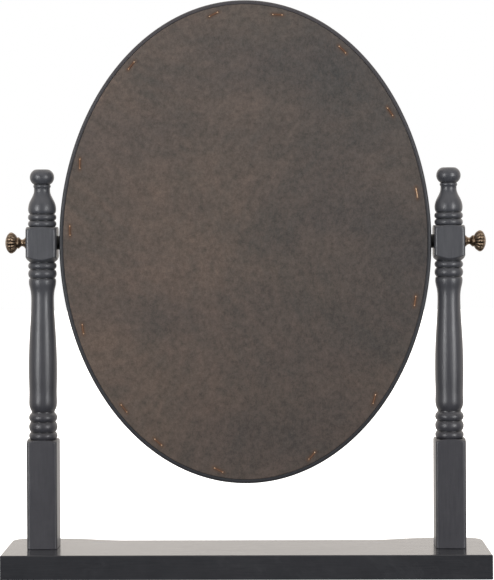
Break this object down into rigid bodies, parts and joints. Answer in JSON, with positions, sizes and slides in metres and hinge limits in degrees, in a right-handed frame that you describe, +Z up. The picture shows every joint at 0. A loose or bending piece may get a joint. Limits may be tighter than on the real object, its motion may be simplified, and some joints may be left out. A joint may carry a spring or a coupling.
{
  "type": "dressing table mirror",
  "caption": "Free-standing oval mirror that tilts between two turned posts on a flat base board, held by a thumb knob at each side.",
  "frame": {"origin": "bottom centre of the base board's footprint, on the surface that the pads stand on", "axes": "+Z up; the glass faces -Y and the hardboard back faces +Y; the pivot axis runs along X; left is -X"},
  "size_m": [0.5012, 0.1, 0.5955],
  "materials": {
    "painted_wood": "dark slate grey satin paint, faint grain",
    "hardboard": "matte brown-grey hardboard with cloudy patches",
    "mirror": "polished silvered glass",
    "antique_brass": "dark antique patina, worn bright on the ribs",
    "steel": "zinc plated",
    "staple_wire": "lightly rusted steel wire",
    "black_plastic": "matte",
    "felt": "pressed felt"
  },
  "bodies": {
    "stand": {"base_board": "painted_wood", "left_post": "painted_wood", "right_post": "painted_wood", "left_post_screws": "steel", "right_post_screws": "steel", "front_left_pad": "felt", "front_right_pad": "felt", "back_left_pad": "felt", "back_right_pad": "felt"},
    "mirror": {"mirror_frame": "painted_wood", "mirror_glass": "mirror", "backing_board": "hardboard", "backing_staples": "staple_wire", "left_insert": "steel", "right_insert": "steel", "left_spacer": "black_plastic", "right_spacer": "black_plastic"},
    "left_washer": {"left_washer": "antique_brass"},
    "right_washer": {"right_washer": "antique_brass"},
    "left_knob": {"left_knob": "antique_brass", "left_stud": "steel"},
    "right_knob": {"right_knob": "antique_brass", "right_stud": "steel"}
  },
  "joints": [
    {"name": "mirror_tilt", "type": "hinge", "parent": "stand", "child": "mirror", "pos_m": [0, 0, 0.3445], "axis": [1, 0, 0], "continuous": true},
    {"name": "left_knob_travel", "type": "slide", "parent": "mirror", "child": "left_washer", "axis": [-1, 0, 0], "range_m": [0, 0.0016]},
    {"name": "left_knob_turn", "type": "hinge", "parent": "left_washer", "child": "left_knob", "pos_m": [-0.23, 0, 0.3445], "axis": [-1, 0, 0], "range_deg": [0, 720]},
    {"name": "right_knob_travel", "type": "slide", "parent": "mirror", "child": "right_washer", "axis": [1, 0, 0], "range_m": [0, 0.0016]},
    {"name": "right_knob_turn", "type": "hinge", "parent": "right_washer", "child": "right_knob", "pos_m": [0.23, 0, 0.3445], "axis": [1, 0, 0], "range_deg": [0, 720]}
  ],
  "couplings": [
    {"joint": "left_knob_turn", "follows": "left_knob_travel", "rad_per_m": 7854},
    {"joint": "right_knob_turn", "follows": "right_knob_travel", "rad_per_m": 7854}
  ]
}
